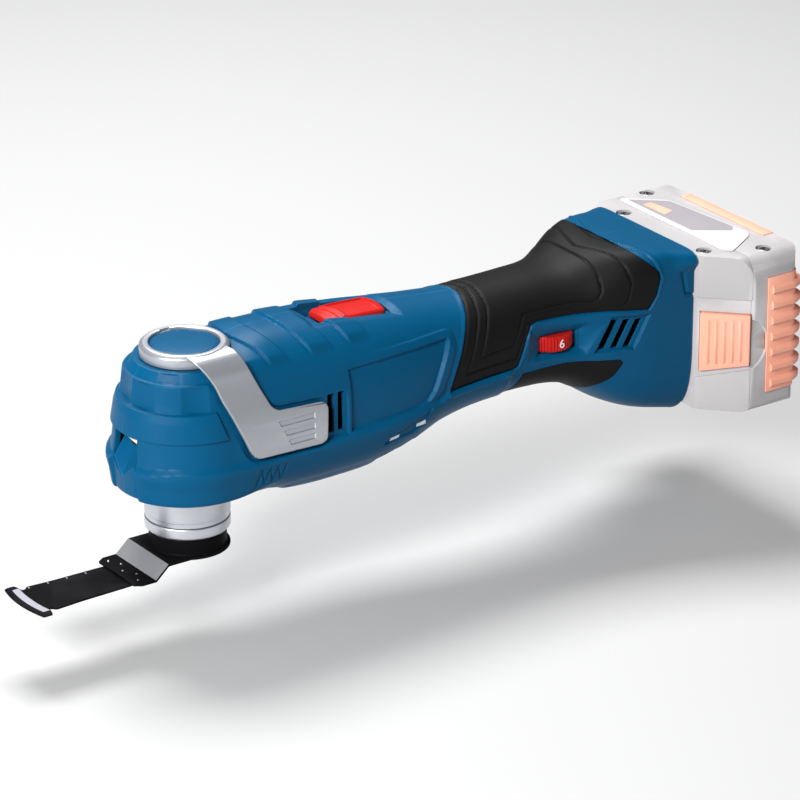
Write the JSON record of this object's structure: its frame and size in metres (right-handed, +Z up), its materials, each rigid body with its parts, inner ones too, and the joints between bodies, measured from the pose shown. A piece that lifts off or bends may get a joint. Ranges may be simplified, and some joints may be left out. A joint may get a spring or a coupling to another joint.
{
  "type": "cordless oscillating multi tool",
  "caption": "Battery oscillating multi tool with a swing-out clamping lever under a round top ring, a slide switch, a speed wheel, a plunge saw blade and a slide-on pack.",
  "frame": {"origin": "on the output spindle's axis at the flat lower end face of the clamping rod", "axes": "+X from the spindle towards the battery pack, +Y to the right-hand side away from the clamping lever, +Z up along the spindle"},
  "size_m": [0.3749, 0.1037, 0.0998],
  "materials": {
    "blue_shell": "fine-textured blue housing plastic",
    "soft_grip": "matt black soft overmould",
    "silver_metal": "satin silver",
    "cast_aluminium": "as cast",
    "steel": "machined",
    "black_steel": "black coated sheet steel",
    "brass": "plain",
    "copper": "enamelled copper wire",
    "dark_plastic": "dark engineering plastic",
    "red_plastic": "red, fine texture",
    "red_rubber": "red bumper rubber",
    "pack_plastic": "dark grey pack plastic",
    "label": "blank grey label",
    "cells": "sleeved steel cells",
    "circuit_board": "coated board",
    "clear_lens": "milky lens"
  },
  "bodies": {
    "tool_body": {"housing_left": "blue_shell", "housing_right": "blue_shell", "grip_left": "soft_grip", "grip_right": "soft_grip", "grip_belly": "soft_grip", "belly_pad": "soft_grip", "neck_collar": "silver_metal", "gear_case": "cast_aluminium", "lower_bearing": "steel", "upper_bearing": "steel", "front_bearing": "steel", "motor_stator": "steel", "motor_windings": "copper", "rear_bearing": "steel", "micro_switch": "dark_plastic", "control_module": "dark_plastic", "lamp_board": "circuit_board", "lamp_lens": "clear_lens", "rail_plate": "dark_plastic", "terminal_block": "dark_plastic", "terminal_blades": "brass", "housing_screw_1": "steel", "housing_screw_2": "steel", "housing_screw_3": "steel", "housing_screw_4": "steel", "housing_screw_5": "steel", "housing_screw_6": "steel"},
    "lever": {"clamp_lever": "silver_metal", "lever_cap": "blue_shell"},
    "spindle": {"output_spindle": "steel", "tool_holder": "silver_metal", "drive_fork": "steel", "clamp_spring": "steel"},
    "rod": {"clamp_rod": "steel"},
    "jaw_left": {"clamp_jaw_left": "steel"},
    "jaw_right": {"clamp_jaw_right": "steel"},
    "accessory": {"blade_carrier": "black_steel", "saw_strip": "black_steel"},
    "rotor": {"motor_shaft": "steel", "motor_rotor": "steel", "eccentric": "steel", "eccentric_bearing": "steel", "counterweight": "brass", "cooling_fan": "dark_plastic"},
    "switch": {"power_switch": "red_plastic", "switch_link": "dark_plastic"},
    "dial": {"speed_dial": "red_plastic"},
    "battery": {"battery_cover": "pack_plastic", "battery_tub": "pack_plastic", "battery_bumper": "red_rubber", "release_spring": "steel", "battery_label": "label", "battery_cells": "cells", "battery_board": "circuit_board", "battery_clips": "brass", "battery_screw_1": "steel", "battery_screw_2": "steel", "battery_screw_3": "steel", "battery_screw_4": "steel"},
    "release": {"release_button": "red_plastic"}
  },
  "joints": [
    {"name": "lever_swing", "type": "hinge", "parent": "tool_body", "child": "lever", "pos_m": [0, 0, 0.08], "axis": [0, 0, -1], "range_deg": [0, 110]},
    {"name": "spindle_oscillation", "type": "hinge", "parent": "tool_body", "child": "spindle", "pos_m": [0, 0, 0.03], "axis": [0, 0, 1], "range_deg": [-1.6, 1.6]},
    {"name": "rod_slide", "type": "slide", "parent": "spindle", "child": "rod", "axis": [0, 0, -1], "range_m": [0, 0.0021], "deforming": ["clamp_spring"]},
    {"name": "jaw_left_slide", "type": "slide", "parent": "spindle", "child": "jaw_left", "axis": [0, 1, 0], "range_m": [0, 0.0012]},
    {"name": "jaw_right_slide", "type": "slide", "parent": "spindle", "child": "jaw_right", "axis": [0, -1, 0], "range_m": [0, 0.0012]},
    {"name": "accessory_release", "type": "slide", "parent": "spindle", "child": "accessory", "axis": [0, 0, -1], "range_m": [0, 0.03]},
    {"name": "motor_spin", "type": "hinge", "parent": "tool_body", "child": "rotor", "pos_m": [0.06, 0, 0.046], "axis": [1, 0, 0], "continuous": true},
    {"name": "power_slide", "type": "slide", "parent": "tool_body", "child": "switch", "axis": [-1, 0, 0], "range_m": [0, 0.007]},
    {"name": "dial_turn", "type": "hinge", "parent": "tool_body", "child": "dial", "pos_m": [0.1774, -0.0154, 0.0488], "axis": [0, 0, 1], "range_deg": [-250, 0]},
    {"name": "battery_slide", "type": "slide", "parent": "tool_body", "child": "battery", "axis": [0, -1, 0], "range_m": [0, 0.085]},
    {"name": "release_press", "type": "slide", "parent": "battery", "child": "release", "axis": [0.7071, 0.7071, 0], "range_m": [0, 0.002], "stiffness_N_per_m": 1500}
  ],
  "couplings": [
    {"joint": "rod_slide", "follows": "lever_swing", "m_per_rad": 0.001041},
    {"joint": "jaw_left_slide", "follows": "lever_swing", "m_per_rad": 0.00061},
    {"joint": "jaw_right_slide", "follows": "lever_swing", "m_per_rad": 0.00061}
  ]
}
